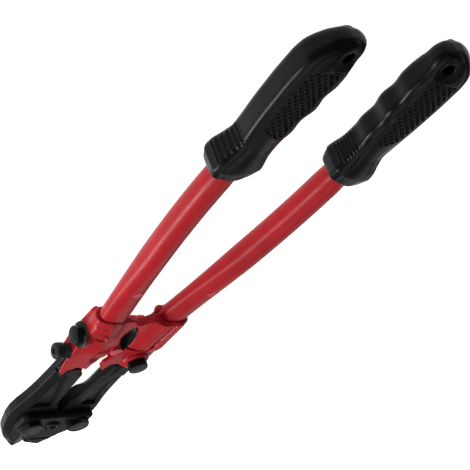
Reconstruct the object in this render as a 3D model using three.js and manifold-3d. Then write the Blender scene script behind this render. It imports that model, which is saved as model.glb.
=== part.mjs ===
// Two-handed bolt cutters, closed. Millimetres. X across the tool, Y from the jaw tips to the grip
// ends, Z along the pivot axes. Lengths along Y are first measured from the strap bolts, then the
// whole tool is moved so that the origin is the middle of its bounding box.
import * as THREE from "three";
import { mergeVertices } from "three/addons/utils/BufferGeometryUtils.js";
import Module from "manifold-3d";

const wasm = await Module();
wasm.setup();
const { Manifold, Mesh } = wasm;

// ---------- driving dimensions ----------
const GAP = 0.3; // air between neighbouring pieces
const RUN = 0.05; // radial running clearance of a pin in its hole
const TIP_Y = -44.5; // jaw tips
const END_Y = 390; // grip ends
const MIDDLE_Y = (TIP_Y + END_Y) / 2;

const STRAP_BOLT = { x: 17.8, y: 0, r: 4.5 };
const TAIL_PIVOT = { x: 19, y: 79.5, r: 3.6 };
const CENTRE_PIVOT = { x: 0, y: 88, r: 4 };
const OPEN_CLEARANCE = 0.75; // radial play of the centre pin in the right head

const BUSH_R = 5.4; // outer radius of the bush between tail bolt and jaw
const STRAP_SCREW_Y = -3;
const SCREW_ROOM = 4.1; // the jaws swing past the strap screw
const JAW_HALF = 5; // half thickness of the jaws
const STRAP_TOP = 9.8; // outer face of the straps
const BOLT_TOP = 13.8; // outer face of the strap and tail bolt heads
const HEAD_HALF = 8.8; // half thickness of the handle heads
const STOP_HALF = 4.6; // half thickness of the stop lug between the heads
const TONGUE_HALF = 5.5; // outer face of the tongues that meet at the centre pivot
const BOSS_TOP = 9.6;
const PRONG_IN = JAW_HALF + 0.4; // inner face of the two prongs

const TUBE_START = 112.4;
const TUBE_END = 366;
const TUBE_WALL = 1.6;
const TUBE_FLAT = { side: 9.6, up: 6.4 }; // half sizes where the tube enters the head
const TUBE_ROUND = 8.6;
const TUBE_FLAT_Y = 135;
const TUBE_ROUND_Y = 200;
const SOCKET_MOUTH = 127;

const GRIP_START = 280;
const GRIP_CROWN = 1.7; // rise of the grip's faces between their corners
const GRIP_SLANT = 2.7; // the grip's collar reaches this much nearer the jaws on its outer side
const HANG_HOLE = { x: 34.6, y: 379.5, r: 3.4 };

const TUBE_PIN = { x: 27.2, y: 160, r: 3.2 };
const ADJUSTER = { y: 83.5, z: 0 };
const FLANGE_BOLT = { y: 103, z: 0 };
const BUMPER = { y: 117.5, z: 0, r: 3.8 };

// Tube axis: distance from the middle plane at stations along the tool.
const AXIS = [
  [100, 18.2],
  [128, 22.2],
  [160, 27.4],
  [190, 31.8],
  [220, 35.4],
  [250, 37.9],
  [280, 39.0],
  [310, 39.0],
  [345, 37.6],
  [400, 35.6],
];

const RED = new THREE.Color(0.62, 0.03, 0.06);
const BLACK_STEEL = new THREE.Color(0.07, 0.07, 0.075);
const BOLT_STEEL = new THREE.Color(0.05, 0.05, 0.055);
const RUBBER = new THREE.Color(0.03, 0.03, 0.032);

// ---------- solids ----------
function solid(geometry) {
  const bare = geometry.clone();
  bare.deleteAttribute("normal");
  bare.deleteAttribute("uv");
  const merged = mergeVertices(bare, 1e-4);
  return new Manifold(
    new Mesh({
      numProp: 3,
      vertProperties: new Float32Array(merged.attributes.position.array),
      triVerts: new Uint32Array(merged.index.array),
    }),
  );
}

// A plate: a closed outline in X, Y with z from low to high.
function plate(points, low, high) {
  const shape = new THREE.Shape(points.map(([x, y]) => new THREE.Vector2(x, y)));
  const geometry = new THREE.ExtrudeGeometry(shape, { depth: high - low, bevelEnabled: false });
  geometry.translate(0, 0, low);
  return solid(geometry);
}

// A plate whose outline is in X, Z and which runs along Y.
function plateAlongY(points, low, high) {
  const shape = new THREE.Shape(points.map(([x, z]) => new THREE.Vector2(x, z)));
  const geometry = new THREE.ExtrudeGeometry(shape, { depth: high - low, bevelEnabled: false });
  geometry.rotateX(Math.PI / 2);
  geometry.translate(0, high, 0);
  return solid(geometry);
}

// A round or many-sided bar along Z.
function barZ(x, y, r, low, high, sides = 32, turn = 0) {
  const geometry = new THREE.CylinderGeometry(r, r, high - low, sides);
  geometry.rotateX(Math.PI / 2);
  geometry.rotateZ(turn);
  geometry.translate(x, y, (low + high) / 2);
  return solid(geometry);
}

// A round or many-sided bar along X.
function barX(y, z, r, low, high, sides = 28) {
  const geometry = new THREE.CylinderGeometry(r, r, high - low, sides);
  geometry.rotateZ(Math.PI / 2);
  geometry.translate((low + high) / 2, y, z);
  return solid(geometry);
}

function block(x0, x1, y0, y1, z0, z1) {
  const geometry = new THREE.BoxGeometry(x1 - x0, y1 - y0, z1 - z0);
  geometry.translate((x0 + x1) / 2, (y0 + y1) / 2, (z0 + z1) / 2);
  return solid(geometry);
}

// A solid of revolution about an axis along X, from radii at stations.
function turnedX(y, z, profile, sides = 28) {
  const points = profile.map(([x, r]) => new THREE.Vector2(r, x));
  const geometry = new THREE.LatheGeometry(points, sides);
  geometry.rotateZ(-Math.PI / 2);
  geometry.translate(0, y, z);
  const made = solid(geometry);
  return made.volume() > 0 ? made : solid(flipped(geometry));
}

function flipped(geometry) {
  const index = geometry.index.array;
  for (let i = 0; i < index.length; i += 3) {
    [index[i + 1], index[i + 2]] = [index[i + 2], index[i + 1]];
  }
  return geometry;
}

// A skin through rings of points, closed by a flat cap at each end.
function skin(rings) {
  const n = rings[0].length;
  const positions = rings.flat(2);
  const index = [];
  for (let k = 0; k + 1 < rings.length; k += 1) {
    for (let i = 0; i < n; i += 1) {
      const a = k * n + i;
      const b = k * n + ((i + 1) % n);
      index.push(a, b, b + n, a, b + n, a + n);
    }
  }
  const last = (rings.length - 1) * n;
  for (let i = 1; i + 1 < n; i += 1) {
    index.push(0, i + 1, i);
    index.push(last, last + i, last + i + 1);
  }
  const geometry = new THREE.BufferGeometry();
  geometry.setAttribute("position", new THREE.Float32BufferAttribute(positions, 3));
  geometry.setIndex(index);
  const made = solid(geometry);
  return made.volume() > 0 ? made : solid(flipped(geometry));
}

function arc(cx, cy, r, from, to, steps) {
  const points = [];
  for (let i = 0; i <= steps; i += 1) {
    const a = THREE.MathUtils.degToRad(from + ((to - from) * i) / steps);
    points.push([cx + r * Math.cos(a), cy + r * Math.sin(a)]);
  }
  return points;
}

// ---------- tube axis ----------
const axisCurve = new THREE.CatmullRomCurve3(AXIS.map(([y, x]) => new THREE.Vector3(x, y, 0)));
const AXIS_SAMPLES = axisCurve.getPoints(400);

function axisAt(y) {
  let k = 1;
  while (k < AXIS_SAMPLES.length - 1 && AXIS_SAMPLES[k].y < y) k += 1;
  const a = AXIS_SAMPLES[k - 1];
  const b = AXIS_SAMPLES[k];
  const t = (y - a.y) / (b.y - a.y);
  const slope = (b.x - a.x) / (b.y - a.y);
  return { x: a.x + (b.x - a.x) * t, angle: Math.atan(slope) };
}

// One ring round the axis: sizes to the inner side, the outer side and up, and a squareness of 2
// for an ellipse or more for a squarer section.
function ring(y, inner, outer, up, squareness, steps) {
  const at = axisAt(y);
  const points = [];
  for (let i = 0; i < steps; i += 1) {
    const a = (2 * Math.PI * i) / steps;
    const c = Math.cos(a);
    const s = Math.sin(a);
    const side = Math.sign(c) * Math.abs(c) ** (2 / squareness) * (c < 0 ? inner : outer);
    const z = Math.sign(s) * Math.abs(s) ** (2 / squareness) * up;
    points.push([at.x + side * Math.cos(at.angle), y - side * Math.sin(at.angle), z]);
  }
  return points;
}

function tubeSize(y) {
  const t = THREE.MathUtils.smoothstep(y, TUBE_FLAT_Y, TUBE_ROUND_Y);
  return {
    side: THREE.MathUtils.lerp(TUBE_FLAT.side, TUBE_ROUND, t),
    up: THREE.MathUtils.lerp(TUBE_FLAT.up, TUBE_ROUND, t),
  };
}

function tubeSkin(y0, y1, grow, stations = 14, steps = 20) {
  const rings = [];
  for (let i = 0; i <= stations; i += 1) {
    const y = y0 + ((y1 - y0) * i) / stations;
    const size = tubeSize(y);
    rings.push(ring(y, size.side + grow, size.side + grow, size.up + grow, 2, steps));
  }
  return skin(rings);
}

// ---------- pieces of the right half ----------
function jaw() {
  const outline = [
    [0.15, -18],
    [0.15, TIP_Y + 1.5],
    [1.6, TIP_Y],
    [9, -42],
    [16.2, -35.6],
    [22.8, -25.8],
    [27.2, -13.8],
    [29.2, -3],
    [29.2, 8],
    [27, 22],
    [25.4, 38],
    [26, 54],
    [27.4, 68],
    ...arc(TAIL_PIVOT.x, TAIL_PIVOT.y, 8.5, -16, 205, 14),
    [9, 66],
    [7.6, 52],
    [4.6, 26],
    [2.6, 13],
    [0.3, 0],
    [0.3, -8.6],
    [4.4, -11],
    [4.4, -15.4],
  ];
  let made = plate(outline, -JAW_HALF, JAW_HALF);
  // Cutting bevels on both faces, meeting in an edge on the middle plane.
  for (const side of [1, -1]) {
    const wedge = [
      [0, side * 0.5],
      [11.5, side * (JAW_HALF + 0.4)],
      [11.5, side * (JAW_HALF + 3)],
      [0, side * (JAW_HALF + 3)],
    ];
    made = made.subtract(plateAlongY(wedge, TIP_Y - 4, -18));
  }
  // A shallow pocket in each face between the outer border and the inner rib.
  const pocket = [
    [24.6, 14],
    [21.8, 38],
    [22, 58],
    [17.4, 58],
    [15.2, 40],
    [11.8, 20],
    [11.4, 14],
  ];
  made = made.subtract(plate(pocket, JAW_HALF - 1.1, JAW_HALF + 1));
  made = made.subtract(plate(pocket, -JAW_HALF - 1, -JAW_HALF + 1.1));
  const b = STRAP_BOLT;
  made = made.subtract(barZ(b.x, b.y, b.r + RUN, -9, 9));
  made = made.subtract(barZ(TAIL_PIVOT.x, TAIL_PIVOT.y, BUSH_R + RUN, -9, 9));
  return made.subtract(barZ(0, STRAP_SCREW_Y, SCREW_ROOM, -9, 9));
}

// One handle head. Only the left one is drilled across for the adjuster and the flanged bolt.
function head(drilled) {
  const t = TAIL_PIVOT;
  const c = CENTRE_PIVOT;
  const body = [
    [27.4, SOCKET_MOUTH],
    [30.6, 121],
    [31, 114],
    [31, 80],
    [30, 69],
    [27.8, 63],
    [24.8, 62.2],
    [18.6, 73],
    [12, 77],
    [9.8, 82],
    [13.6, 90],
    [6.4, 101],
    [7.6, 112],
    [8.8, SOCKET_MOUTH],
  ];
  let made = plate(body, -HEAD_HALF, HEAD_HALF);
  for (const side of [1, -1]) {
    const corner = [
      [28, side * (HEAD_HALF + 0.4)],
      [35, side * (HEAD_HALF + 0.4)],
      [35, side * (HEAD_HALF - 7)],
    ];
    made = made.subtract(plateAlongY(corner, 50, SOCKET_MOUTH + 5));
  }
  made = made.subtract(barZ(c.x, c.y, 10.7, -20, 20));
  // Tongue to the centre pivot, on the lower side.
  const tongue = [
    ...arc(c.x, c.y, 10, 70, 290, 18),
    [12.6, 84],
    [16, 96],
    [10, 101],
  ];
  made = made.add(plate(tongue, -TONGUE_HALF, -GAP / 2));
  // Bosses round the tail pivot.
  made = made.add(barZ(t.x, t.y, 8.2, -BOSS_TOP, BOSS_TOP));
  // The slot that takes the jaw tail.
  made = made.subtract(barZ(t.x, t.y, 9.2, -PRONG_IN, PRONG_IN));
  made = made.subtract(block(-2, 45, 50, t.y, -PRONG_IN, PRONG_IN));
  // Stop lug on the inner side, which carries the bumper.
  const lug = [
    [4.5, 104],
    [14, 100],
    [14, SOCKET_MOUTH],
    [9, SOCKET_MOUTH],
    [4.5, 122],
  ];
  made = made.add(plate(lug, -STOP_HALF, STOP_HALF));
  // Socket for the tube, and the holes.
  made = made.subtract(tubeSkin(TUBE_START - GAP, 150, GAP, 5, 28));
  made = made.subtract(barZ(t.x, t.y, t.r + RUN, -20, 20));
  made = made.subtract(barZ(c.x, c.y, c.r + OPEN_CLEARANCE, -20, 20));
  made = made.subtract(barX(BUMPER.y, BUMPER.z, 2.2 + GAP, -5, 9.4));
  if (drilled) {
    made = made.subtract(barX(ADJUSTER.y, ADJUSTER.z, 3 + RUN, 20, 45));
    made = made.subtract(barX(FLANGE_BOLT.y, FLANGE_BOLT.z, 4 + GAP, 16, 45));
  }
  // A long groove on one face and a raised oval on the other.
  const groove = [
    [17.2, 101],
    [20, 100.2],
    [24, 121],
    [21.2, 121.8],
  ];
  made = made.subtract(plate(groove, HEAD_HALF - 1.2, HEAD_HALF + 2));
  const oval = new THREE.CylinderGeometry(4.2, 4.6, 1.4, 28);
  oval.rotateX(-Math.PI / 2);
  oval.scale(0.8, 1.1, 1);
  oval.translate(17, 104, -HEAD_HALF - 0.2);
  return made.add(solid(oval));
}

function tube() {
  const outer = tubeSkin(TUBE_START, TUBE_END, 0);
  const inner = tubeSkin(TUBE_START - 1, TUBE_END + 1, -TUBE_WALL, 14, 16);
  const dimple = barZ(TUBE_PIN.x, TUBE_PIN.y, TUBE_PIN.r, -20, 20, 16);
  return outer.subtract(inner).subtract(dimple);
}

function tubePin() {
  return barZ(TUBE_PIN.x, TUBE_PIN.y, TUBE_PIN.r - GAP, -7.2, 7.2, 16);
}

// Stations of the grip: y, inner side, outer side, height at the middle, corner radius.
const GRIP = [
  [GRIP_START, 10.6, 11.6, 10.0, 4.5],
  [281, 11.2, 12.3, 10.4, 4.6],
  [287.6, 13.9, 16.4, 11.8, 5.0],
  [293, 13.8, 16.2, 11.6, 4.8],
  [300, 12.6, 14.0, 10.7, 4.4],
  [306, 11.6, 12.4, 10.1, 4.2],
  [312, 11.3, 12.6, 10.0, 4.2],
  [321, 12.8, 14.3, 10.0, 4.2],
  [331, 12.2, 16.0, 10.0, 4.2],
  [341, 13.3, 17.3, 10.0, 4.2],
  [350, 12.4, 18.3, 10.0, 4.2],
  [359, 12.9, 19.0, 10.0, 4.4],
  [366, 11.6, 19.3, 10.0, 4.8],
  [372, 10.2, 19.2, 9.8, 5.5],
  [377, 9.2, 18.4, 9.4, 6.2],
  [381, 9.0, 16.8, 9.0, 6.6],
  [385, 8.8, 14.2, 8.2, 6.6],
  [388.4, 6.8, 10.0, 6.4, 5.4],
  [END_Y, 3.4, 6.0, 3.8, 3.2],
];

// A box section with round corners and faces that are crowned by GRIP_CROWN.
function gripRing(y, inner, outer, up, radius) {
  const at = axisAt(y);
  const middle = (outer - inner) / 2;
  const straight = (outer + inner) / 2 - radius;
  const shoulder = Math.max(up - GRIP_CROWN, radius) - radius;
  const quarter = [0, 22.5, 45, 67.5, 90].map(THREE.MathUtils.degToRad);
  const face = [0.6, 0, -0.6];
  const upper = [
    ...quarter.map((a) => [straight + radius * Math.cos(a), shoulder + radius * Math.sin(a)]),
    ...face.map((t) => [t * straight, shoulder + radius + (up - shoulder - radius) * (1 - t * t)]),
    ...quarter.map((a) => [-straight - radius * Math.sin(a), shoulder + radius * Math.cos(a)]),
  ];
  const lower = upper.map(([side, z]) => [-side, -z]);
  const slant = GRIP_SLANT * (1 - THREE.MathUtils.smoothstep(y, 293, 312));
  return [...upper, ...lower].map(([across, z]) => {
    const side = across + middle;
    const lean = Math.sin(at.angle) * side + (slant * across) / (straight + radius);
    return [at.x + side * Math.cos(at.angle), y - lean, z];
  });
}

function grip() {
  let made = skin(GRIP.map((station) => gripRing(...station)));
  made = made.subtract(tubeSkin(GRIP_START - 6, TUBE_END + GAP, GAP, 8, 20));
  return made.subtract(barZ(HANG_HOLE.x, HANG_HOLE.y, HANG_HOLE.r, -20, 20, 24));
}

function bumper() {
  const stem = barX(BUMPER.y, BUMPER.z, 2.2, 3.5, 9.1, 20);
  const pad = turnedX(BUMPER.y, BUMPER.z, [
    [0.15, 0],
    [0.15, 2.8],
    [1.2, BUMPER.r],
    [4.2, BUMPER.r],
    [4.2, 0],
  ]);
  return pad.add(stem);
}

function flangeBolt() {
  return turnedX(FLANGE_BOLT.y, FLANGE_BOLT.z, [
    [17, 0],
    [17, 4],
    [33.4, 4],
    [33.4, 6],
    [36, 5.8],
    [37.4, 4.8],
    [38.2, 2.6],
    [38.4, 0],
  ]);
}

function flangeWasher() {
  const disc = turnedX(FLANGE_BOLT.y, FLANGE_BOLT.z, [
    [31.3, 0],
    [31.3, 9.4],
    [31.9, 10],
    [32.6, 10],
    [33.1, 9.2],
    [33.1, 0],
  ]);
  return disc.subtract(barX(FLANGE_BOLT.y, FLANGE_BOLT.z, 4 + GAP, 16, 45));
}

function adjuster() {
  const made = turnedX(ADJUSTER.y, ADJUSTER.z, [
    [28.6, 0],
    [28.6, 2.2],
    [29.4, 3],
    [35.6, 3],
    [35.6, 4.6],
    [36.2, 5.2],
    [40.4, 5.2],
    [41, 4.6],
    [41, 0],
  ]);
  return made.subtract(block(39.8, 43, ADJUSTER.y - 0.7, ADJUSTER.y + 0.7, -6, 6));
}

function lockNut() {
  const nut = barX(ADJUSTER.y, ADJUSTER.z, 5.4, 31.3, 35.2, 6);
  return nut.subtract(barX(ADJUSTER.y, ADJUSTER.z, 3 + RUN, 20, 45));
}

function tailBolt() {
  const t = TAIL_PIVOT;
  const shank = barZ(t.x, t.y, t.r, -BOSS_TOP, BOSS_TOP + 1);
  return shank.add(barZ(t.x, t.y, 5.8, BOSS_TOP + GAP, BOLT_TOP, 28));
}

function tailBush() {
  const t = TAIL_PIVOT;
  const bush = barZ(t.x, t.y, BUSH_R, -JAW_HALF, JAW_HALF);
  return bush.subtract(barZ(t.x, t.y, t.r + RUN, -20, 20));
}

function strap(low, high) {
  const outline = [
    [0, -29.4],
    [3.4, -28.2],
    [13.2, -18.8],
    [23.2, -9.6],
    [26.6, -4.6],
    [26.6, 7.4],
    [24.4, 10],
  ];
  const left = outline
    .slice(1)
    .reverse()
    .map(([x, y]) => [-x, y]);
  let made = plate([...outline, ...left], low, high);
  for (const side of [1, -1]) {
    made = made.subtract(barZ(side * STRAP_BOLT.x, STRAP_BOLT.y, STRAP_BOLT.r + RUN, -30, 30));
  }
  return made.subtract(barZ(0, STRAP_SCREW_Y, 2.5 + GAP, -30, 30));
}

// Built round the Z axis, and placed on the right and the left.
function strapBolt() {
  const shank = barZ(0, 0, STRAP_BOLT.r, -STRAP_TOP, STRAP_TOP + 1);
  return shank.add(barZ(0, 0, 7.2, STRAP_TOP + GAP, BOLT_TOP, 6, Math.PI / 6));
}

function strapScrew() {
  const shank = barZ(0, 0, 2.5, -STRAP_TOP, STRAP_TOP + GAP + 0.5, 20);
  return shank.add(barZ(0, 0, 3.6, STRAP_TOP + GAP, 11.4, 20));
}

function centrePin() {
  return barZ(CENTRE_PIVOT.x, CENTRE_PIVOT.y, CENTRE_PIVOT.r, -TONGUE_HALF, TONGUE_HALF, 28);
}

// ---------- assembly ----------
function meshOf(name, made, colour, roughness, metalness) {
  const cut = made.getMesh();
  const geometry = new THREE.BufferGeometry();
  geometry.setAttribute("position", new THREE.Float32BufferAttribute(cut.vertProperties, 3));
  geometry.setIndex(Array.from(cut.triVerts));
  geometry.computeVertexNormals();
  const material = new THREE.MeshStandardMaterial({ color: colour, roughness, metalness });
  const mesh = new THREE.Mesh(geometry, material);
  mesh.name = name;
  return mesh;
}

// Everything that belongs to one half. The left half is the right one turned half a turn about
// the tool's long axis, so one head's tongue lies over the other's.
function half(side) {
  const made = new THREE.Group();
  made.add(meshOf(`jaw_${side}`, jaw(), BLACK_STEEL, 0.42, 0.8));
  made.add(meshOf(`head_${side}`, head(side === "left"), RED, 0.28, 0.2));
  made.add(meshOf(`tube_${side}`, tube(), RED, 0.22, 0.2));
  made.add(meshOf(`tube_pin_${side}`, tubePin(), RED, 0.3, 0.2));
  made.add(meshOf(`grip_${side}`, grip(), RUBBER, 0.6, 0));
  made.add(meshOf(`tail_bolt_${side}`, tailBolt(), BOLT_STEEL, 0.4, 0.8));
  made.add(meshOf(`tail_bush_${side}`, tailBush(), BOLT_STEEL, 0.4, 0.8));
  made.add(meshOf(`bumper_${side}`, bumper(), RED, 0.5, 0));
  return made;
}

const tool = new THREE.Group();
tool.position.y = -MIDDLE_Y;

const right = half("right");
const left = half("left");
left.rotation.y = Math.PI;
left.add(meshOf("flange_bolt", flangeBolt(), BOLT_STEEL, 0.35, 0.8));
left.add(meshOf("flange_washer", flangeWasher(), BOLT_STEEL, 0.35, 0.8));
left.add(meshOf("adjuster", adjuster(), BOLT_STEEL, 0.35, 0.8));
left.add(meshOf("lock_nut", lockNut(), BOLT_STEEL, 0.35, 0.8));
tool.add(right, left);

for (const [side, sign] of [["right", 1], ["left", -1]]) {
  const bolt = meshOf(`strap_bolt_${side}`, strapBolt(), BOLT_STEEL, 0.4, 0.8);
  bolt.position.set(sign * STRAP_BOLT.x, STRAP_BOLT.y, 0);
  tool.add(bolt);
}

tool.add(meshOf("strap_front", strap(JAW_HALF + GAP, STRAP_TOP), BLACK_STEEL, 0.45, 0.8));
tool.add(meshOf("strap_back", strap(-STRAP_TOP, -JAW_HALF - GAP), BLACK_STEEL, 0.45, 0.8));

const screw = meshOf("strap_screw", strapScrew(), BOLT_STEEL, 0.4, 0.8);
screw.position.set(0, STRAP_SCREW_Y, 0);
tool.add(screw);

// The centre pin is fast in the left head's tongue and has play in the right one's.
tool.add(meshOf("centre_pin", centrePin(), RED, 0.3, 0.4));

const group = new THREE.Group();
group.name = "bolt_cutters";
group.add(tool);

export default group;
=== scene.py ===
import math

import bpy
import numpy as np
from mathutils import Matrix


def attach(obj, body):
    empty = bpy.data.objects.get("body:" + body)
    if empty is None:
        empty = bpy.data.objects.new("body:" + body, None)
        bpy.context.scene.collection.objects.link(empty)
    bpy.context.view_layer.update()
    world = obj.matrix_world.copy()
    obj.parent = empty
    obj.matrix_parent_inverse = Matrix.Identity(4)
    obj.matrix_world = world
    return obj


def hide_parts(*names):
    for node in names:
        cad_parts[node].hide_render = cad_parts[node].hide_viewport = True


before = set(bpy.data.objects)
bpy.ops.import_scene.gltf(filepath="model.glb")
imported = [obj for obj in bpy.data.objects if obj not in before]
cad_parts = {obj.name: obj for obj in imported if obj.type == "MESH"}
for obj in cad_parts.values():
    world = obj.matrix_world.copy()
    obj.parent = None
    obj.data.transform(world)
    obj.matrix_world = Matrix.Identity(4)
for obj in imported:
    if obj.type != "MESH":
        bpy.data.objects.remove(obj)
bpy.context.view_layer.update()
bpy.context.scene.view_settings.view_transform = "Standard"

# ---------- driving dimensions, mm ----------
MIDDLE_Y = 172.75
JAW_HALF = 5.0
STRAP_IN = 5.3
STRAP_TOP = 9.8
BOLT_TOP = 13.8
HEAD_HALF = 8.8
TAIL_HALF = 3.0
STRAP_BOLT_X = 17.8
STRAP_SCREW_Y = -3.0
STRAP_HALF = [
    (0, -29.4), (3.4, -28.2), (13.2, -18.8), (23.2, -9.6), (26.6, -4.6), (26.6, 7.4), (24.4, 10),
]
BACK_STRAP_X = 24.0
TAIL_X = 19.0
TAIL_Y = 79.5
MOUTH_Y = 127.0
TUBE_START = 113.0
TUBE_END = 366.0
TUBE_PIN_Y = 160.0
GRIP_START = 280.0
GRIP_END = 390.0
HOLE_X = 34.6
HOLE_Y = 379.5
HOLE_R = 3.4
ADJUSTER_Y = 83.5
FLANGE_Y = 103.0
CAST_STEP = 0.5
GRIP_STEP = 0.36
FIT = 0.1

AXIS = [
    (100, 18.2), (128, 22.2), (160, 27.4), (190, 31.8), (220, 35.4),
    (250, 37.9), (280, 39.0), (310, 39.0), (345, 37.6), (400, 35.6),
]
# Grip stations: y, inner side, outer side, height at the middle, corner radius.
GRIP = [
    (280, 10.6, 11.6, 10.0, 4.5), (281, 11.2, 12.5, 10.4, 4.6), (286.8, 12.9, 15.3, 11.6, 5.0),
    (288.4, 13.2, 15.9, 11.8, 4.6), (293, 12.4, 15.7, 11.5, 4.4), (300, 11.6, 13.6, 10.7, 4.6),
    (306, 11.6, 12.0, 10.1, 4.4), (312, 11.6, 12.6, 10.0, 4.4), (321, 12.8, 14.3, 10.0, 4.8),
    (331, 12.0, 16.0, 10.0, 4.8), (341, 13.4, 17.3, 10.0, 4.8), (350, 12.2, 18.3, 10.0, 4.8),
    (359, 13.0, 19.0, 10.0, 5.0), (366, 12.2, 19.2, 10.0, 4.8), (372, 11.4, 19.1, 9.8, 5.3),
    (377, 11.2, 17.8, 9.4, 5.9), (381, 11.4, 15.2, 9.0, 6.2), (385, 11.0, 11.6, 8.2, 6.2),
    (388.4, 9.0, 7.4, 6.4, 5.0), (390, 5.0, 3.6, 3.8, 3.0),
]
GRIP_CROWN = 1.7
GRIP_SLANT = 2.7
KNURL_ALONG = 4.7
KNURL_ACROSS = 4.0


# ---------- materials ----------
def new_material(name):
    material = bpy.data.materials.new(name)
    material.use_nodes = True
    nodes = material.node_tree.nodes
    return material, nodes, material.node_tree.links, nodes["Principled BSDF"]


def noise(nodes, links, scale, detail=4.0, rough=0.55):
    """A 3-D noise in object coordinates, scale in cycles per metre."""
    coords = nodes.new("ShaderNodeTexCoord")
    texture = nodes.new("ShaderNodeTexNoise")
    texture.inputs["Scale"].default_value = scale
    texture.inputs["Detail"].default_value = detail
    texture.inputs["Roughness"].default_value = rough
    links.new(coords.outputs["Object"], texture.inputs["Vector"])
    return texture.outputs["Fac"]


def ramp(nodes, links, source, stops):
    node = nodes.new("ShaderNodeValToRGB")
    elements = node.color_ramp.elements
    while len(elements) < len(stops):
        elements.new(0.5)
    for element, (position, colour) in zip(elements, stops):
        element.position = position
        element.color = (*colour, 1.0)
    links.new(source, node.inputs["Fac"])
    return node.outputs["Color"]


def mix_colour(nodes, links, factor, a, b):
    """Mixes a and b, each a colour or a socket, by the factor socket."""
    node = nodes.new("ShaderNodeMix")
    node.data_type = "RGBA"
    node.blend_type = "MIX"
    links.new(factor, node.inputs["Factor"])
    for value, socket in ((a, node.inputs[6]), (b, node.inputs[7])):
        if isinstance(value, tuple):
            socket.default_value = (*value, 1.0)
        else:
            links.new(value, socket)
    return node.outputs[2]


def map_range(nodes, links, source, low, high, to_low, to_high):
    node = nodes.new("ShaderNodeMapRange")
    node.inputs["From Min"].default_value = low
    node.inputs["From Max"].default_value = high
    node.inputs["To Min"].default_value = to_low
    node.inputs["To Max"].default_value = to_high
    links.new(source, node.inputs["Value"])
    return node.outputs["Result"]


def bump(nodes, links, heights, shader):
    """Chains bump nodes for (height source, strength, distance in metres)."""
    last = None
    for source, strength, distance in heights:
        node = nodes.new("ShaderNodeBump")
        node.inputs["Strength"].default_value = strength
        node.inputs["Distance"].default_value = distance
        links.new(source, node.inputs["Height"])
        if last is not None:
            links.new(last, node.inputs["Normal"])
        last = node.outputs["Normal"]
    links.new(last, shader.inputs["Normal"])


def coated(name, base, edge, painted_crevice_shade, rough, grain, coat, spec):
    """Paint, lacquer or moulded rubber: mottled colour, edges lighter with wear and painted highlight,
    crevices darkened with painted shade, fine grain.
    rough is (low, high), grain is (cycles per metre, strength, metres)."""
    material, nodes, links, shader = new_material(name)
    mottle = noise(nodes, links, 55.0, 5.0)
    dark = tuple(c * 0.86 for c in base)
    light = tuple(min(1.0, c * 1.12) for c in base)
    body = ramp(nodes, links, mottle, [(0.3, dark), (0.72, light)])
    geometry = nodes.new("ShaderNodeNewGeometry")
    # Sharp edges take a lighter colour: part wear, part painted highlight.
    wear_and_highlight = map_range(nodes, links, geometry.outputs["Pointiness"], 0.53, 0.60, 0.0, 0.8)
    # Hollows and crevices take a darker colour: painted shade.
    low = map_range(nodes, links, geometry.outputs["Pointiness"], 0.485, 0.43, 0.0, 0.85)
    body = mix_colour(nodes, links, wear_and_highlight, body, edge)
    body = mix_colour(nodes, links, low, body, painted_crevice_shade)
    links.new(body, shader.inputs["Base Color"])
    patch = noise(nodes, links, 140.0, 6.0)
    roughness = map_range(nodes, links, patch, 0.3, 0.7, rough[0], rough[1])
    links.new(roughness, shader.inputs["Roughness"])
    shader.inputs["Specular IOR Level"].default_value = spec
    shader.inputs["Coat Weight"].default_value = coat
    shader.inputs["Coat Roughness"].default_value = 0.12
    fine = noise(nodes, links, grain[0], 3.0)
    wave = noise(nodes, links, grain[0] * 0.12, 3.0)
    bump(nodes, links, [(wave, 0.25, grain[2] * 2.0), (fine, grain[1], grain[2])], shader)
    return material


# Each finish: base colour; edge colour, part wear and part painted highlight; crevice colour, painted
# shade; roughness range; grain; coat; specular.
RED = coated(
    "paint_red", (0.262, 0.0085, 0.0130), (0.42, 0.045, 0.056), (0.060, 0.0012, 0.0024),
    (0.30, 0.40), (2600.0, 0.10, 0.00004), 0.0, 0.07,
)
BLACK = coated(
    "steel_black", (0.0058, 0.0060, 0.0062), (0.038, 0.039, 0.040), (0.0010, 0.0010, 0.0010),
    (0.34, 0.46), (1900.0, 0.35, 0.00007), 0.0, 0.04,
)
FASTENER = coated(
    "fastener_black", (0.0035, 0.0040, 0.0042), (0.030, 0.033, 0.035), (0.0006, 0.0007, 0.0007),
    (0.26, 0.38), (2400.0, 0.22, 0.00004), 0.0, 0.06,
)
RUBBER = coated(
    "rubber_black", (0.0028, 0.0028, 0.0029), (0.010, 0.010, 0.0105), (0.0006, 0.0006, 0.0006),
    (0.28, 0.36), (3200.0, 0.30, 0.00005), 0.0, 0.07,
)
SLOT = {
    "paint_red": RED,
    "steel_black": BLACK,
    "fastener_black": FASTENER,
    "rubber_black": RUBBER,
}


# ---------- placing ----------
def place(points):
    """Tool millimetres, lengths from the strap bolts, to the row frame in metres."""
    points = np.asarray(points, float) * 0.001
    points[:, 1] -= MIDDLE_Y * 0.001
    return points


def turned_over(points):
    """The same piece for the left half or the back: half a turn about Y."""
    return points * np.array([-1.0, 1.0, -1.0])


def mirrored(points, faces):
    """The left-hand piece of the same outline, worked out on the right half."""
    points[:, 0] *= -1
    return points, faces[:, ::-1]


def make(name, points, faces, body, slot, nodes=(), angle=None):
    mesh = bpy.data.meshes.new(name)
    mesh.from_pydata(place(points).tolist(), [], faces)
    mesh.update()
    mesh.materials.append(SLOT[slot])
    mesh.polygons.foreach_set("use_smooth", [True] * len(mesh.polygons))
    piece = bpy.data.objects.new(name, mesh)
    bpy.context.scene.collection.objects.link(piece)
    if angle is not None:
        mesh.set_sharp_from_angle(angle=math.radians(angle))
    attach(piece, body)
    if nodes:
        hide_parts(*nodes)
    return piece


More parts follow.
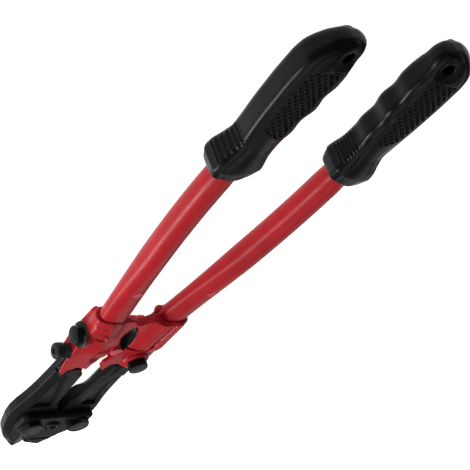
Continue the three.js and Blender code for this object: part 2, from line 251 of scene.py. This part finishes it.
# ---------- distance fields ----------
class Grid:
    def __init__(self, low, high, step):
        self.low = np.array(low, float)
        self.step = step
        counts = [int(math.ceil((b - a) / step)) + 1 for a, b in zip(low, high)]
        axes = [a + step * np.arange(n) for a, n in zip(low, counts)]
        self.x = axes[0][:, None, None]
        self.y = axes[1][None, :, None]
        self.z = axes[2][None, None, :]


def outline(grid, points):
    """Signed distance in X, Y to a closed outline, negative inside."""
    points = np.array(points, float)
    x = grid.x[:, :, 0]
    y = grid.y[:, :, 0]
    best = np.full((x.shape[0], y.shape[1]), 1e9)
    inside = np.zeros(best.shape, bool)
    for a, b in zip(points, np.roll(points, -1, axis=0)):
        edge = b - a
        t = np.clip(((x - a[0]) * edge[0] + (y - a[1]) * edge[1]) / (edge @ edge), 0, 1)
        best = np.minimum(best, np.hypot(x - a[0] - t * edge[0], y - a[1] - t * edge[1]))
        if a[1] != b[1]:
            crosses = ((a[1] > y) != (b[1] > y)) & (x < edge[0] * (y - a[1]) / edge[1] + a[0])
            inside ^= crosses
    return np.where(inside, -best, best)[:, :, None]


def join(a, b, k=0.0):
    """Union, with a fillet of about k."""
    if k <= 0:
        return np.minimum(a, b)
    h = np.clip(0.5 + 0.5 * (b - a) / k, 0, 1)
    return b + (a - b) * h - k * h * (1 - h)


def common(a, b, k=0.0):
    return -join(-a, -b, k)


def cut(a, b, k=0.0):
    return -join(-a, b, k)


def between(z, low, high):
    return np.maximum(low - z, z - high)


def smooth(value, low, high):
    t = np.clip((value - low) / (high - low), 0, 1)
    return t * t * (3 - 2 * t)


def segment(x, y, a, b):
    """Distance in the plane from a segment."""
    ex, ey = b[0] - a[0], b[1] - a[1]
    t = np.clip(((x - a[0]) * ex + (y - a[1]) * ey) / (ex * ex + ey * ey), 0, 1)
    return np.hypot(x - a[0] - t * ex, y - a[1] - t * ey)


def net(grid, field):
    """Surface net: the zero level of the field as quads."""
    field = np.ascontiguousarray(field)
    sign = field < 0
    shape = tuple(n - 1 for n in field.shape)
    count = np.zeros(shape, np.int8)
    for a in (0, 1):
        for b in (0, 1):
            for c in (0, 1):
                count += sign[a:a + shape[0], b:b + shape[1], c:c + shape[2]]
    active = (count > 0) & (count < 8)
    cells = np.argwhere(active)
    number = np.full(shape, -1, np.int64)
    number[active] = np.arange(len(cells))
    total = np.zeros((len(cells), 3))
    hits = np.zeros(len(cells))
    for axis in range(3):
        others = [k for k in range(3) if k != axis]
        for b in (0, 1):
            for c in (0, 1):
                start = cells.copy()
                start[:, others[0]] += b
                start[:, others[1]] += c
                end = start.copy()
                end[:, axis] += 1
                fa = field[tuple(start.T)]
                fb = field[tuple(end.T)]
                crosses = (fa < 0) != (fb < 0)
                t = fa[crosses] / (fa[crosses] - fb[crosses])
                spot = start[crosses].astype(float)
                spot[:, axis] += t
                total[crosses] += spot
                hits[crosses] += 1
    points = grid.low + grid.step * total / hits[:, None]
    faces = []
    for axis in range(3):
        u, v = (axis + 1) % 3, (axis + 2) % 3
        low = [slice(None)] * 3
        high = [slice(None)] * 3
        low[axis] = slice(0, -1)
        high[axis] = slice(1, None)
        starts = sign[tuple(low)]
        edges = np.argwhere(starts != sign[tuple(high)])
        keep = (edges[:, u] > 0) & (edges[:, v] > 0)
        keep &= (edges[:, u] < shape[u]) & (edges[:, v] < shape[v])
        edges = edges[keep]
        leaving = starts[tuple(edges.T)]
        corners = []
        for du, dv in ((1, 1), (0, 1), (0, 0), (1, 0)):
            cell = edges.copy()
            cell[:, u] -= du
            cell[:, v] -= dv
            corners.append(number[tuple(cell.T)])
        quads = np.stack(corners, axis=1)
        quads[~leaving] = quads[~leaving][:, ::-1]
        faces.append(quads)
    return points, np.concatenate(faces)


def cast(name, grid, field, body, slot, nodes=(), left=False):
    """A cast or moulded piece from its distance field."""
    points, faces = net(grid, field)
    if left:
        points = turned_over(points)
    return make(name, points, faces.tolist(), body, slot, nodes)


# ---------- curves along the handle ----------
def curve(table, column, values):
    """A smooth curve through one column of a table, by monotone-limited cubic pieces."""
    xs = np.array([row[0] for row in table], float)
    ys = np.array([row[column] for row in table], float)
    rise = np.diff(ys) / np.diff(xs)
    slope = np.concatenate([rise[:1], (rise[1:] + rise[:-1]) / 2, rise[-1:]])
    steep = 2.0 * np.minimum(np.abs(rise[1:]), np.abs(rise[:-1]))
    slope[1:-1] = np.clip(slope[1:-1], -steep, steep) * (rise[1:] * rise[:-1] > 0)
    v = np.clip(values, xs[0], xs[-1])
    k = np.clip(np.searchsorted(xs, v) - 1, 0, len(xs) - 2)
    h = xs[k + 1] - xs[k]
    t = (v - xs[k]) / h
    a = (1 + 2 * t) * (1 - t) ** 2
    b = t * (1 - t) ** 2
    c = t * t * (3 - 2 * t)
    d = t * t * (t - 1)
    return a * ys[k] + b * h * slope[k] + c * ys[k + 1] + d * h * slope[k + 1]


def along(grid):
    """Side distance from the tube axis at each grid point, positive outwards, and length on it."""
    centre = curve(AXIS, 1, grid.y)
    ahead = curve(AXIS, 1, grid.y + 0.5)
    behind = curve(AXIS, 1, grid.y - 0.5)
    angle = np.arctan(ahead - behind)
    side = (grid.x - centre) * np.cos(angle)
    return side, grid.y + side * np.sin(angle)


def tube_size(y):
    t = smooth(y, 135, 200)
    bare = 0.3 * (1 - smooth(y, 268, 278))
    return 9.4 + (8.1 - 9.4) * t + bare, 6.2 + (8.1 - 6.2) * t + bare


def squircle(side, z, inner, outer, up, power):
    """Nearly a distance to a squared-off oval section."""
    across = np.where(side < 0, inner, outer)
    value = (np.abs(side) / across) ** power + (np.abs(z) / up) ** power
    value = value ** (1 / power)
    size = np.sqrt(side * side + z * z) / np.maximum(value, 1e-6)
    return (value - 1) * size


# ---------- jaws ----------
# What differs between the jaws: inner edge, sunk web, shoulder (x, y, radius), slope inside the rib,
# how far the lower side is drawn in there, and the shift of the rib.
JAWS = {
    "left": {
        "inside": [(10.4, 62), (7.0, 56), (4.4, 50), (3.8, 44), (3.4, 38), (2.8, 26)],
        "web": [
            (24.4, 16.4), (22.4, 38), (22.6, 61), (20.4, 60), (14.8, 40), (10.4, 24), (9.6, 16.4),
        ],
        "shoulder": (18.6, 61.5, 7.6),
        "slope": 0.95,
        "drawn": 2.6,
        "rib_shift": 0.0,
    },
    "right": {
        "inside": [(9.8, 62), (8.2, 52), (7.0, 38), (6.0, 26)],
        "web": [
            (24.0, 16.4), (22.8, 38), (22.4, 56), (20.4, 56), (16.8, 40), (13.4, 24), (12.4, 16.4),
        ],
        "shoulder": (15.4, 60.0, 9.6),
        "slope": 1.25,
        "drawn": 4.6,
        "rib_shift": -1.2,
    },
}


def build_jaw(left):
    side = "left" if left else "right"
    jaw = JAWS[side]
    grid = Grid((-1.5, -47, -7), (34.5, 91, 7), CAST_STEP)
    x, y, z = grid.x, grid.y, grid.z
    shape = [
        (0.15, -18), (0.15, -43), (1.6, -44.5), (9, -42.4), (13.4, -39.8), (17.2, -36.0),
        (20.9, -31.4), (24.0, -26.0), (26.8, -20.0), (28.6, -13.8), (31.6, -3), (32.6, 5),
        (32.0, 13), (29.8, 24), (28.4, 38), (28.0, 54), (28.0, 68), (27.4, 80), (24, 86.5),
        (19, 88), (14, 86.4), (11.6, 80), (11.2, 70),
        *jaw["inside"], (2.8, 13), (0.3, 0), (0.3, -8.6),
        (4.4, -11), (4.4, -15.4),
    ]
    flat = outline(grid, shape)
    # The outer border falls away from a crease, and the cutting bevels fall to the edge.
    border = np.clip(flat + 4.4, 0, 9) * smooth(x, 9, 16)
    cutting = smooth(-y, 17, 19.5) * np.clip(11.5 - x, 0, 12) * 0.4
    over = JAW_HALF - 0.85 * border - cutting
    under = JAW_HALF - 0.12 * border - cutting
    # The web between the inner rib and the border is sunk, up to a step near the strap.
    web = outline(grid, jaw["web"])
    over = over - 2.3 * smooth(-web, -0.2, 0.7)
    under = under - 1.5 * smooth(-web, -0.4, 1.8)
    # The tail is thin where it enters the head, behind a rounded, raised shoulder.
    shoulder_x, shoulder_y, shoulder_r = jaw["shoulder"]
    shoulder = np.hypot(x - shoulder_x, y - shoulder_y) - shoulder_r
    over = over + 0.9 * smooth(-shoulder, 0.2, 1.2) * smooth(y, 55.0, 56.5)
    tail = smooth(shoulder, -0.1, 0.5) * smooth(y, 60.0, 61.0)
    over = over - (JAW_HALF - TAIL_HALF) * tail
    under = under - (JAW_HALF - TAIL_HALF) * smooth(y, 68.0, 69.0)
    # Inside the rib the upper side slopes down and the lower side is drawn in towards it.
    rib = 7.4 + 0.055 * np.clip(y - 26, 0, 60) + jaw["rib_shift"]
    fall = jaw["slope"] * np.clip(rib - x, 0, 7)
    over = over - fall * smooth(y, 14, 20) * (1 - smooth(y, 60, 66))
    drawn = smooth(y, 24, 40) * (1 - smooth(y, 62, 70))
    under = under - jaw["drawn"] * drawn * np.clip((12.5 - x) / 5.0, 0, 1)
    field = common(flat, np.maximum(z - over, -z - under), 0.7)
    points, faces = net(grid, field)
    if left:
        points, faces = mirrored(points, faces)
    name = f"jaw_forging_{side}"
    return make(name, points, faces.tolist(), f"jaw_{side}", "steel_black", [f"jaw_{side}"])


# ---------- straps ----------
def build_strap(name, node, sign):
    grid = Grid((-28.5, -31.5, 3.8), (28.5, 12, 11.4), CAST_STEP)
    x, y, z = grid.x, grid.y, grid.z
    half = STRAP_HALF
    if sign < 0:
        half = [(min(a, BACK_STRAP_X), b) for a, b in half]
    shape = half + [(-a, b) for a, b in reversed(half[1:])]
    flat = outline(grid, shape)
    # A wide bevel all round, and a sunk panel that leaves a raised lip along the rear edge.
    top = STRAP_TOP - 0.8 * np.clip(flat + 1.5, 0, 4)
    panel = np.maximum(np.maximum(y - 5.6, -y - 22), np.abs(x) - 24.5)
    top = top - 0.7 * smooth(-panel, -0.2, 0.8)
    field = common(flat, between(z, STRAP_IN, top), 0.5)
    for bolt in (-STRAP_BOLT_X, STRAP_BOLT_X):
        field = cut(field, np.hypot(x - bolt, y) - 4.7, 0.3)
    field = cut(field, np.maximum(np.hypot(x, y - STRAP_SCREW_Y) - 5.0, 8.2 - z), 0.4)
    field = cut(field, np.hypot(x, y - STRAP_SCREW_Y) - 2.9, 0.2)
    points, faces = net(grid, field)
    if sign < 0:
        points = turned_over(points)
    return make(name, points, faces.tolist(), "straps", "steel_black", [node])


# ---------- heads ----------
LEFT_HEAD = [
    (28.4, 127), (31, 120), (31.2, 100), (31.2, 80), (29.6, 70), (27.6, 63), (24.0, 59),
    (23.2, 64.6), (19.7, 70.4), (14.2, 69.6), (11.6, 68), (10.4, 75.2), (4.8, 81.5),
    (1.4, 90.5), (2.6, 98), (5.6, 105), (5.7, 110.6), (2.6, 118.6), (3.4, 122.6),
    (10, 126.4), (16, 128.5),
]
RIGHT_HEAD = [
    (31.2, 126.6), (31.4, 100), (31.2, 80), (30, 70), (26.6, 60.5), (19.4, 67), (13.8, 70.0),
    (9.2, 73.2), (5.0, 73.0), (1.6, 65.6), (-2.4, 70.6), (-3.0, 76), (0.2, 83), (4.6, 91),
    (5.3, 98), (4.7, 105), (1.6, 114), (-1.9, 118.6), (-1.2, 120.6), (7.1, 126.8), (15, 125.5),
    (20, 127),
]


def left_face(x, y):
    """Height of the left head's upper face: a roof with a sharp crease and a sunk inner band."""
    rear = smooth(y, 84, 98)
    crease = 16.6 + (y - 86) * 0.163
    out = np.clip(x - crease, 0, 30)
    inn = np.clip(crease - x, 0, 30)
    face = 6.4 + 2.4 * rear - out * (0.12 + 0.30 * rear) - inn * 0.10
    face = face - 2.5 * smooth(crease - x, -0.15, 0.6) * smooth(y, 76, 84)
    notch = segment(x, y, (20.6, 120.4), (19.6, 122.8))
    face = face - 1.8 * smooth(1.7 - notch, 0, 0.8)
    groove = segment(x, y, (25.4, 121.2), (32.0, 120.6))
    face = face - 2.0 * smooth(1.7 - groove, 0, 0.9)
    ring = np.hypot((x - 24.4) / 4.4, (y - 110.0) / 3.6)
    face = face + 0.9 * smooth(1.3 - ring, 0, 0.2) - 1.7 * smooth(0.82 - ring, 0, 0.2)
    collar = np.maximum(y - 124.6, 0)
    face = face - 0.5 * collar
    face = np.maximum(face, 2.0)
    return np.maximum(face, 4.7 * (1 - rear))


def right_face(x, y):
    """Height of the right head's upper face: a panel with a rim, a long groove and a step."""
    rear = smooth(y, 84, 98)
    face = 5.4 + 0.6 * (1 - rear) + 3.2 * smooth(x, 3, 14.5) * rear
    ridge = segment(x, y, (14.6, 97.5), (16.2, 126))
    face = face + 0.55 * smooth(1.0 - ridge, 0, 0.8)
    face = face - 0.75 * np.clip(x - 27.4, 0, 6)
    slot = segment(x, y, (20.2, 97.5), (22.0, 123))
    face = face - 3.0 * smooth(1.9 - slot, 0, 0.8)
    ledge = segment(x, y, (3.0, 93.4), (17.6, 92.8))
    face = face - 1.8 * smooth(1.25 - ledge, 0, 0.7)
    pit = np.hypot(x - 20.6, y - 92.8)
    face = face - 2.6 * smooth(2.3 - pit, 0, 0.9)
    boss = np.hypot(x - TAIL_X, y - TAIL_Y)
    rim = 1 - smooth(boss, 8.2, 9.4)
    face = face + 2.9 * rim - 1.0 * smooth(boss, 5, 9) * rim
    face = face - 0.45 * np.maximum(y - 124.8, 0)
    return np.maximum(face, 4.7 * (1 - rear))


def build_head(left):
    grid = Grid((-6, 54, -12), (36.5, 133, 12), CAST_STEP)
    x, y, z = grid.x, grid.y, grid.z
    flat = outline(grid, LEFT_HEAD if left else RIGHT_HEAD)
    rear = smooth(y, 84, 98)
    over = left_face(x, y) if left else right_face(x, y)
    under = HEAD_HALF - 1.6 * (1 - rear)
    # At the inner rear corner the head is only a thin plate: its lower side is raised to this height.
    plate = 2.0 if left else -0.4
    corner = smooth(y - x, 92, 104) * rear
    under = under - (under + plate) * corner
    field = common(flat, np.maximum(z - over, -z - under), 1.0)
    # The sleeve that holds the tube, cut back on its inner side.
    side, length = along(grid)
    wide, tall = tube_size(length)
    sleeve = squircle(side, z, wide + 0.6, wide + 2.2, tall + 0.6, 2.3)
    sleeve = common(sleeve, between(length, 106, MOUTH_Y - 7.0 * smooth(-side, 2, 9)), 1.0)
    field = join(field, sleeve, 1.6)
    if not left:
        lug = np.sqrt((x - 14.6) ** 2 + ((y - 123.5) / 1.1) ** 2 + ((z + 3.6) / 1.1) ** 2) - 3.3
        field = join(field, lug, 1.2)
    bore = squircle(side, z, wide + FIT, wide + FIT, tall + FIT, 2.0)
    field = cut(field, np.maximum(bore, 112 - length), 0.3)
    # The slot that takes the jaw tail.
    mouth = np.maximum(y - TAIL_Y, np.abs(x - 22) - 30)
    mouth = np.minimum(np.hypot(x - TAIL_X, y - TAIL_Y) - 9.4, mouth)
    field = cut(field, np.maximum(mouth, np.abs(z) - TAIL_HALF - 0.3), 0.3)
    # The left head takes the adjusting screw and has a round pad for the flanged bolt.
    if left:
        field = cut(field, np.maximum(np.hypot(y - ADJUSTER_Y, z) - 3.3, 22 - x), 0.3)
        pad = np.maximum(np.hypot(y - FLANGE_Y, z) - 8.2, np.maximum(29 - x, x - 32.6))
        field = join(field, pad, 1.0)
    points, faces = net(grid, field)
    if left:
        points, faces = mirrored(points, faces)
    hand = "left" if left else "right"
    name = f"head_casting_{hand}"
    return make(name, points, faces.tolist(), f"handle_{hand}", "paint_red", [f"head_{hand}"])


def build_gap_shade():
    """A black strip along the right head's inner wall: painted shade for the dark gap between the heads.
    """
    wall_y = [89.5, 91, 98, 105, 110, 113]
    wall_x = [3.8, 4.6, 5.3, 4.7, 3.0, 1.9]
    proud, sunk, low, high = 0.8, 0.6, -6.5, 4.9
    sections = []
    for y in np.arange(89.5, 113.1, 0.5):
        x = float(np.interp(y, wall_y, wall_x))
        corners = [(x - proud, y, low), (x + sunk, y, low), (x + sunk, y, high), (x - proud, y, high)]
        sections.append(np.array(corners))
    points, faces = rings(sections)
    faces = [f[::-1] for f in faces]
    # Painted shade: a dark strip where the gap between the heads lies in shadow.
    make("gap_shade_strip", points, faces, "handle_right", "rubber_black", [], 30)


# ---------- tubes ----------
def rings(sections):
    """Quads through rings of equal length, with a cap at each end."""
    n = len(sections[0])
    points = np.concatenate(sections)
    faces = []
    for k in range(len(sections) - 1):
        for i in range(n):
            j = (i + 1) % n
            faces.append((k * n + i, k * n + j, (k + 1) * n + j, (k + 1) * n + i))
    faces.append(tuple(range(n))[::-1])
    faces.append(tuple((len(sections) - 1) * n + i for i in range(n)))
    return points, faces


def build_tube(left):
    turn = np.linspace(0, 2 * math.pi, 64, endpoint=False)
    sections = []
    for y in np.arange(TUBE_START, TUBE_END + 1.0, 2.0):
        centre = float(curve(AXIS, 1, np.array(y)))
        angle = math.atan(float(curve(AXIS, 1, np.array(y + 0.5)) - curve(AXIS, 1, np.array(y - 0.5))))
        wide, tall = tube_size(y)
        side = wide * np.cos(turn)
        z = tall * np.sin(turn)
        px = centre + side * math.cos(angle)
        py = y - side * math.sin(angle)
        sections.append(np.stack([px, py, z], axis=1))
    points, faces = rings(sections)
    # A pressed dimple on both faces, where the tube is pinned.
    away = np.hypot(points[:, 0] - 27.4, points[:, 1] - TUBE_PIN_Y)
    dent = 1.1 * np.exp(-((away / 2.4) ** 4))
    points[:, 2] -= np.sign(points[:, 2]) * dent
    faces = [f[::-1] for f in faces]
    side = "left" if left else "right"
    if left:
        points = turned_over(points)
    return make(f"handle_tube_{side}", points, faces, f"handle_{side}", "paint_red", [f"tube_{side}"], 40)


# ---------- grips ----------
def crowned_box(across, z, half, up, radius):
    """Distance to a box section with round corners, its faces rising by GRIP_CROWN to up."""
    straight = half - radius
    rise = GRIP_CROWN * np.clip(1 - (across / straight) ** 2, 0, 1)
    shoulder = np.maximum(up - GRIP_CROWN, radius) - radius
    dx = np.abs(across) - straight
    dz = np.abs(z) - shoulder - rise * smooth(np.abs(z), 3, 8)
    return np.hypot(np.maximum(dx, 0), np.maximum(dz, 0)) + np.minimum(np.maximum(dx, dz), 0) - radius


def build_grip(left):
    step = GRIP_STEP
    grid = Grid((19, 276, -13), (58, 391.6, 13), step)
    x, y, z = grid.x, grid.y, grid.z
    side, length = along(grid)
    slant = GRIP_SLANT * (1 - smooth(length, 293, 312))
    length = length + slant * side / 15.0
    inner = curve(GRIP, 1, length)
    outer = curve(GRIP, 2, length)
    up = curve(GRIP, 3, length)
    radius = curve(GRIP, 4, length)
    # Thumb ridges on both side faces behind the collar.
    ridges = 0.5 * np.cos((length - 299) * 2 * math.pi / 3.0)
    ridges = ridges * smooth(length, 292, 294) * (1 - smooth(length, 309, 312))
    ridges = ridges * (1 - smooth(np.abs(z), 4.5, 7.5))
    across = side - (outer - inner) / 2
    half = (outer + inner) / 2
    field = crowned_box(across, z, half, up, radius) - ridges
    # Finger scallops on the inner side.
    scallop = 0.35 * (0.5 - 0.5 * np.cos((length - 321.5) * 2 * math.pi / 19.2))
    scallop = scallop * smooth(length, 311, 322) * (1 - smooth(length, 360, 364))
    field = field + scallop * smooth(-across, 6, 12)
    # Knurl: rows of sunk diamonds between raised crossing lines, on both faces.
    u = length / KNURL_ALONG + side / KNURL_ACROSS
    v = length / KNURL_ALONG - side / KNURL_ACROSS
    cell = np.maximum(np.abs(u - np.round(u)), np.abs(v - np.round(v)))
    low_end = 315.5 + 0.45 * (side + 6)
    high_end = 371.6 - 0.25 * np.abs(side + 0.5)
    patch = np.maximum(np.abs(across) - half + radius + 1.2, between(length, low_end, high_end))
    sunk = 0.7 * smooth(0.43 - cell, 0, 0.09) * smooth(-patch, -0.2, 0.6)
    field = field + sunk * smooth(np.abs(z), 6.2, 7.2)
    field = common(field, between(length, GRIP_START, GRIP_END), 1.2)
    # Both faces are dished round the hanging hole.
    away = np.hypot(x - HOLE_X, y - HOLE_Y)
    dish = 1.5 * (1 - smooth(away, 3.0, 9.5))
    field = field + dish * smooth(np.abs(z), 4.5, 7.5)
    field = cut(field, away - HOLE_R, 0.8)
    wide, tall = tube_size(length)
    bore = squircle(side, z, wide + FIT, wide + FIT, tall + FIT, 2.0)
    bore = np.maximum(bore, length - TUBE_END - 0.3)
    field = cut(field, bore, 0.2)
    side_name = "left" if left else "right"
    return cast(
        f"grip_moulding_{side_name}", grid, field, f"handle_{side_name}", "rubber_black",
        [f"grip_{side_name}"], left,
    )


# ---------- fasteners ----------
def spun(profile, flats=None, turn=0.0, steps=96):
    """Rings from (height, radius) rows. With flats, rows are cut to a hexagon of that half width."""
    angle = np.linspace(0, 2 * math.pi, steps, endpoint=False)
    fold = (angle - turn + math.pi / 6) % (math.pi / 3) - math.pi / 6
    hexagon = np.full(steps, 1e9) if flats is None else flats / np.cos(fold)
    sections = []
    for height, radius in profile:
        r = np.minimum(radius, hexagon)
        sections.append(np.stack([r * np.cos(angle), r * np.sin(angle), np.full(steps, height)], axis=1))
    return rings(sections)


def dome(low, high, radius, edge, crown, steps=8):
    """Profile rows of a head: straight side, rounded edge, low crown."""
    rows = [(low, radius - 0.3), (low + 0.3, radius), (high - crown - edge, radius)]
    for k in range(1, steps + 1):
        a = math.pi / 2 * k / steps
        rows.append((high - crown - edge + edge * math.sin(a), radius - edge + edge * math.cos(a)))
    inner = radius - edge
    for k in range(1, steps + 1):
        t = k / steps
        rows.append((high - crown + crown * (1 - (1 - t) ** 2), max(0.02, inner * (1 - t))))
    return rows


def fastener(name, body, slot, nodes, profile, where, along_x=0, flats=None, turn=0.0, down=False):
    """A turned or hexagonal fastener at where, along Z, or along X towards the given sign."""
    points, faces = spun(profile, flats, turn)
    if down:
        points = points * np.array([1, -1, -1])
    if along_x:
        points = points[:, [2, 0, 1]] * np.array([along_x, 1, 1])
        if along_x < 0:
            faces = [f[::-1] for f in faces]
    points = points + np.array(where, float)
    return make(name, points, faces, body, slot, nodes, 38)


def build_fasteners():
    for side, sign in (("left", -1), ("right", 1)):
        fastener(
            f"strap_bolt_head_{side}", "straps", "fastener_black", [f"strap_bolt_{side}"],
            dome(9.9, BOLT_TOP, 7.7, 1.1, 0.35), (sign * STRAP_BOLT_X, 0, 0), 0, 6.7, 0.3 * sign,
        )
    fastener(
        "strap_screw_head", "straps", "fastener_black", ["strap_screw"],
        [(6.0, 2.4), (8.4, 2.4), (8.5, 4.0), (10.0, 4.0), (10.6, 3.6), (10.9, 2.9), (10.9, 2.3),
         (9.6, 2.1), (9.4, 0.02)],
        (0, STRAP_SCREW_Y, 0),
    )
    fastener(
        "tail_bolt_head_right", "handle_right", "fastener_black", ["tail_bolt_right"],
        dome(8.2, BOLT_TOP, 6.6, 1.0, 0.4), (TAIL_X, TAIL_Y, 0), 0, 6.0, 0.5,
    )
    shank = [(-3.9, 3.4), (-3.8, 3.6), (8.6, 3.6)]
    fastener(
        "tail_bolt_head_left", "handle_left", "fastener_black", ["tail_bolt_left"],
        shank + dome(8.8, 12.6, 6.6, 1.0, 0.4), (-TAIL_X, TAIL_Y, 0), 0, 6.0, 0.2, True,
    )
    fastener(
        "flange_bolt_head", "handle_left", "fastener_black", ["flange_bolt"],
        dome(33.2, 38.4, 5.9, 1.3, 0.5), (0, FLANGE_Y, 0), -1, 5.4, 0.2,
    )
    fastener(
        "flange_washer_disc", "handle_left", "fastener_black", ["flange_washer"],
        [(31.6, 7.8), (31.9, 8.2), (32.9, 8.2), (33.4, 7.4), (33.6, 5.2), (33.6, 0.02)],
        (0, FLANGE_Y, 0), -1,
    )
    fastener(
        "adjuster_knob", "adjuster", "fastener_black", ["adjuster"],
        [(22.5, 2.9), (35.2, 2.9), (35.3, 4.6), (35.8, 5.3), (39.6, 5.3), (40.4, 4.9), (40.9, 3.9),
         (40.9, 2.0), (40.2, 1.8), (40.2, 0.02)],
        (0, ADJUSTER_Y, 0), -1,
    )


# ---------- the object ----------
for is_left in (True, False):
    build_jaw(is_left)
    build_head(is_left)
    build_tube(is_left)
    build_grip(is_left)
build_strap("strap_plate_front", "strap_front", 1)
build_strap("strap_plate_back", "strap_back", -1)
build_gap_shade()
build_fasteners()

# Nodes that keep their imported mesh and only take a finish.
CARRIED = {
    "tail_bush_left": FASTENER,
    "tail_bush_right": FASTENER,
    "lock_nut": FASTENER,
    "centre_pin": RED,
    "tube_pin_left": RED,
    "tube_pin_right": RED,
    "bumper_left": RED,
    "bumper_right": RED,
}
for node_name, finish in CARRIED.items():
    node_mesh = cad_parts[node_name].data
    node_mesh.materials.clear()
    node_mesh.materials.append(finish)

# ---------- floor ----------
FLOOR_Z = -0.0142
FLOOR_HALF = 6
FLOOR_TONES = [(0.3, (0.56, 0.56, 0.56)), (0.7, (0.60, 0.60, 0.60))]
FLOOR_GLOW = 0.97


def build_floor():
    """A plain pale floor that glows, so that it stays white under a soft light."""
    mesh = bpy.data.meshes.new("floor")
    half = FLOOR_HALF
    corners = [(-half, -half), (half, -half), (half, half), (-half, half)]
    mesh.from_pydata([(x, y, FLOOR_Z) for x, y in corners], [], [(0, 1, 2, 3)])
    floor = bpy.data.objects.new("floor", mesh)
    bpy.context.scene.collection.objects.link(floor)
    material, nodes, links, shader = new_material("floor_pale")
    pale = ramp(nodes, links, noise(nodes, links, 3.0), FLOOR_TONES)
    links.new(pale, shader.inputs["Base Color"])
    shader.inputs["Roughness"].default_value = 0.9
    shader.inputs["Specular IOR Level"].default_value = 0.1
    shader.inputs["Emission Color"].default_value = (1.0, 1.0, 1.0, 1.0)
    shader.inputs["Emission Strength"].default_value = FLOOR_GLOW
    mesh.materials.append(material)


build_floor()

# ---------- light ----------
world = bpy.data.worlds.new("studio")
world.use_nodes = True
world.node_tree.nodes["Background"].inputs["Color"].default_value = (1, 1, 1, 1)
world.node_tree.nodes["Background"].inputs["Strength"].default_value = 0.16
bpy.context.scene.world = world


def area_light(name, direction, distance, along, size, power):
    """A softbox towards the middle of the tool, its second side lying along the given direction."""
    data = bpy.data.lights.new(name, "AREA")
    data.shape = "RECTANGLE"
    data.size, data.size_y = size
    data.energy = power
    light = bpy.data.objects.new(name, data)
    bpy.context.scene.collection.objects.link(light)
    back = np.array(direction, float)
    back = back / np.linalg.norm(back)
    right = np.cross(along, back)
    right = right / np.linalg.norm(right)
    up = np.cross(back, right)
    matrix = Matrix.Identity(4)
    for row in range(3):
        matrix[row][0] = right[row]
        matrix[row][1] = up[row]
        matrix[row][2] = back[row]
        matrix[row][3] = back[row] * distance
    light.matrix_world = matrix
    return light


area_light("key", (-0.15, -0.25, 1.0), 1.7, (0, 1, 0), (1.5, 1.5), 17)
area_light("strip", (-0.69, -0.65, 0.30), 1.6, (-0.5, 0.75, 0.3), (0.12, 0.9), 36)
area_light("sheen", (0.62, -0.65, 0.43), 1.8, (0, 0, 1), (1.2, 0.8), 3.4)

# ---------- camera ----------
# Where the camera stands, in metres, and its right, up and backward directions, fitted to the picture.
CAMERA_AT = (-0.5141, 0.5920, 0.3612)
CAMERA_RIGHT = (0.7818, 0.5293, 0.3296)
CAMERA_UP = (-0.0116, 0.5409, -0.8410)
CAMERA_BACK = (-0.6234, 0.6536, 0.4291)
camera_data = bpy.data.cameras.new("camera")
camera_data.lens = 113.2
camera_data.sensor_width = 36.0
camera = bpy.data.objects.new("camera", camera_data)
bpy.context.scene.collection.objects.link(camera)
pose = Matrix.Identity(4)
for row in range(3):
    pose[row][0] = CAMERA_RIGHT[row]
    pose[row][1] = CAMERA_UP[row]
    pose[row][2] = CAMERA_BACK[row]
    pose[row][3] = CAMERA_AT[row]
camera.matrix_world = pose
bpy.context.scene.camera = camera
